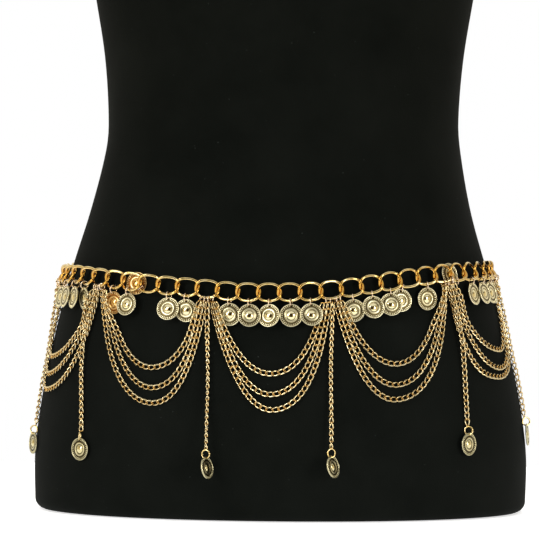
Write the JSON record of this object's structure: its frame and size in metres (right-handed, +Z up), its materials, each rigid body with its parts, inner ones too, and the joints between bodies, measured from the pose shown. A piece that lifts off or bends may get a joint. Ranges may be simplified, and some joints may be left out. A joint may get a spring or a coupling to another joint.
{
  "type": "coin chain belt on a dress form",
  "caption": "Gold coin chain belt on a limbless dress form: a chain of large links round the hips, with hanging coins, layered chain swags and chain drops that end in coins.",
  "frame": {"origin": "middle of the dress form's flat bottom", "axes": "+Z up the form, -Y out of its front, +X to the right of somebody who looks at the front"},
  "size_m": [0.3486, 0.2612, 0.742],
  "materials": {
    "form": "matte stretch cloth over a rigid form",
    "gold": "polished",
    "coin": "satin",
    "strand": "polished"
  },
  "bodies": {
    "belt_on_form": {"dress_form": "form", "main_chain_left_back": "gold", "main_chain_left": "gold", "main_chain_front": "gold", "main_chain_right": "gold", "main_chain_right_back": "gold", "lobster_clasp": "gold", "coin_left_14": "coin", "coin_left_10": "coin", "coin_left_08": "coin", "coin_left_04": "coin", "coin_left_02": "coin", "coin_right_04": "coin", "coin_right_08": "coin", "coin_right_14": "coin", "coin_left_06": "coin", "coin_right_10": "coin", "swag_left_side_inner": "strand", "swag_left_side_middle": "strand", "swag_left_side_outer": "strand", "swag_left_inner": "strand", "swag_left_middle": "strand", "swag_left_outer": "strand", "swag_front_inner": "strand", "swag_front_middle": "strand", "swag_front_outer": "strand", "swag_right_inner": "strand", "swag_right_middle": "strand", "swag_right_outer": "strand", "swag_right_side_inner": "strand", "swag_right_side_middle": "strand", "swag_right_side_outer": "strand", "drop_1_chain": "strand", "drop_2_chain": "strand", "drop_3_chain": "strand", "drop_4_chain": "strand", "drop_5_chain": "strand", "drop_6_chain": "strand"},
    "swinging_coin_left_13": {"coin_left_13": "coin"},
    "swinging_coin_left_12": {"coin_left_12": "coin"},
    "swinging_coin_left_11": {"coin_left_11": "coin"},
    "swinging_coin_left_07": {"coin_left_07": "coin"},
    "swinging_coin_left_05": {"coin_left_05": "coin"},
    "swinging_coin_left_01": {"coin_left_01": "coin"},
    "swinging_coin_right_00": {"coin_right_00": "coin"},
    "swinging_coin_right_01": {"coin_right_01": "coin"},
    "swinging_coin_right_02": {"coin_right_02": "coin"},
    "swinging_coin_right_05": {"coin_right_05": "coin"},
    "swinging_coin_right_06": {"coin_right_06": "coin"},
    "swinging_coin_right_07": {"coin_right_07": "coin"},
    "swinging_coin_right_11": {"coin_right_11": "coin"},
    "swinging_coin_right_12": {"coin_right_12": "coin"},
    "swinging_coin_right_13": {"coin_right_13": "coin"},
    "swinging_drop_1_coin": {"drop_1_coin": "coin"},
    "swinging_drop_2_coin": {"drop_2_coin": "coin"},
    "swinging_drop_3_coin": {"drop_3_coin": "coin"},
    "swinging_drop_4_coin": {"drop_4_coin": "coin"},
    "swinging_drop_5_coin": {"drop_5_coin": "coin"},
    "swinging_drop_6_coin": {"drop_6_coin": "coin"}
  },
  "joints": [
    {"name": "coin_left_13_swing", "type": "hinge", "parent": "belt_on_form", "child": "swinging_coin_left_13", "pos_m": [-0.15044, -0.02743, 0.15735], "axis": [0.0649, 0.9941, -0.0874], "range_deg": [0, 90]},
    {"name": "coin_left_12_swing", "type": "hinge", "parent": "belt_on_form", "child": "swinging_coin_left_12", "pos_m": [-0.14605, -0.04088, 0.15761], "axis": [-0.083, 0.9923, -0.0918], "range_deg": [0, 90]},
    {"name": "coin_left_11_swing", "type": "hinge", "parent": "belt_on_form", "child": "swinging_coin_left_11", "pos_m": [-0.14005, -0.05327, 0.15749], "axis": [-0.2044, 0.9781, -0.0379], "range_deg": [0, 76.5]},
    {"name": "coin_left_07_swing", "type": "hinge", "parent": "belt_on_form", "child": "swinging_coin_left_07", "pos_m": [-0.10219, -0.09222, 0.15361], "axis": [-0.6514, 0.756, 0.0642], "range_deg": [0, 105]},
    {"name": "coin_left_05_swing", "type": "hinge", "parent": "belt_on_form", "child": "swinging_coin_left_05", "pos_m": [-0.07501, -0.1061, 0.15131], "axis": [-0.8029, 0.5915, -0.0739], "range_deg": [0, 130]},
    {"name": "coin_left_01_swing", "type": "hinge", "parent": "belt_on_form", "child": "swinging_coin_left_01", "pos_m": [-0.02094, -0.11702, 0.1476], "axis": [-0.9292, 0.3628, -0.0703], "range_deg": [0, 90]},
    {"name": "coin_right_00_swing", "type": "hinge", "parent": "belt_on_form", "child": "swinging_coin_right_00", "pos_m": [-0.00738, -0.11747, 0.14756], "axis": [-0.9458, 0.3181, -0.0661], "range_deg": [0, 67.5]},
    {"name": "coin_right_01_swing", "type": "hinge", "parent": "belt_on_form", "child": "swinging_coin_right_01", "pos_m": [0.00685, -0.1175, 0.14787], "axis": [-0.9566, 0.2759, -0.0933], "range_deg": [0, 63]},
    {"name": "coin_right_02_swing", "type": "hinge", "parent": "belt_on_form", "child": "swinging_coin_right_02", "pos_m": [0.02031, -0.11663, 0.14838], "axis": [-0.9695, 0.225, -0.0976], "range_deg": [0, 90]},
    {"name": "coin_right_05_swing", "type": "hinge", "parent": "belt_on_form", "child": "swinging_coin_right_05", "pos_m": [0.06116, -0.10877, 0.15341], "axis": [-0.9833, 0.0129, -0.1814], "range_deg": [0, 55]},
    {"name": "coin_right_06_swing", "type": "hinge", "parent": "belt_on_form", "child": "swinging_coin_right_06", "pos_m": [0.07345, -0.10432, 0.15541], "axis": [-0.9884, -0.0583, -0.1406], "range_deg": [0, 38.5]},
    {"name": "coin_right_07_swing", "type": "hinge", "parent": "belt_on_form", "child": "swinging_coin_right_07", "pos_m": [0.08155, -0.09976, 0.15785], "axis": [-0.8912, -0.2686, 0.3655], "range_deg": [0, 16.5]},
    {"name": "coin_right_11_swing", "type": "hinge", "parent": "belt_on_form", "child": "swinging_coin_right_11", "pos_m": [0.12984, -0.06445, 0.16224], "axis": [-0.7883, -0.6076, -0.0974], "range_deg": [0, 90]},
    {"name": "coin_right_12_swing", "type": "hinge", "parent": "belt_on_form", "child": "swinging_coin_right_12", "pos_m": [0.13716, -0.05248, 0.16257], "axis": [-0.6965, -0.7112, -0.0948], "range_deg": [0, 90]},
    {"name": "coin_right_13_swing", "type": "hinge", "parent": "belt_on_form", "child": "swinging_coin_right_13", "pos_m": [0.14278, -0.03958, 0.16285], "axis": [-0.5876, -0.8037, -0.0939], "range_deg": [0, 81]},
    {"name": "drop_1_coin_swing", "type": "hinge", "parent": "belt_on_form", "child": "swinging_drop_1_coin", "pos_m": [-0.16994, -0.01757, 0.05769], "axis": [-0.1765, 0.9843, 0], "range_deg": [0, 90]},
    {"name": "drop_2_coin_swing", "type": "hinge", "parent": "belt_on_form", "child": "swinging_drop_2_coin", "pos_m": [-0.13519, -0.07769, 0.05715], "axis": [-0.7386, 0.6741, 0], "range_deg": [0, 90]},
    {"name": "drop_3_coin_swing", "type": "hinge", "parent": "belt_on_form", "child": "swinging_drop_3_coin", "pos_m": [-0.04904, -0.12486, 0.04813], "axis": [-0.9812, 0.1932, 0], "range_deg": [0, 90]},
    {"name": "drop_4_coin_swing", "type": "hinge", "parent": "belt_on_form", "child": "swinging_drop_4_coin", "pos_m": [0.03462, -0.12551, 0.04952], "axis": [-0.9921, -0.1257, 0], "range_deg": [0, 90]},
    {"name": "drop_5_coin_swing", "type": "hinge", "parent": "belt_on_form", "child": "swinging_drop_5_coin", "pos_m": [0.12788, -0.08516, 0.06317], "axis": [-0.7916, -0.6111, 0], "range_deg": [0, 90]},
    {"name": "drop_6_coin_swing", "type": "hinge", "parent": "belt_on_form", "child": "swinging_drop_6_coin", "pos_m": [0.17138, -0.01352, 0.06615], "axis": [-0.133, -0.9911, 0], "range_deg": [0, 90]}
  ],
  "couplings": [
    {"joint": "coin_left_11_swing", "follows": "coin_left_12_swing", "ratio": 0.85},
    {"joint": "coin_left_13_swing", "follows": "coin_left_12_swing", "ratio": 1},
    {"joint": "coin_right_11_swing", "follows": "coin_right_12_swing", "ratio": 1},
    {"joint": "coin_right_13_swing", "follows": "coin_right_12_swing", "ratio": 0.9},
    {"joint": "coin_right_00_swing", "follows": "coin_left_01_swing", "ratio": 0.75},
    {"joint": "coin_right_01_swing", "follows": "coin_left_01_swing", "ratio": 0.7},
    {"joint": "coin_right_02_swing", "follows": "coin_left_01_swing", "ratio": 1},
    {"joint": "coin_right_06_swing", "follows": "coin_right_05_swing", "ratio": 0.7},
    {"joint": "coin_right_07_swing", "follows": "coin_right_05_swing", "ratio": 0.3}
  ]
}
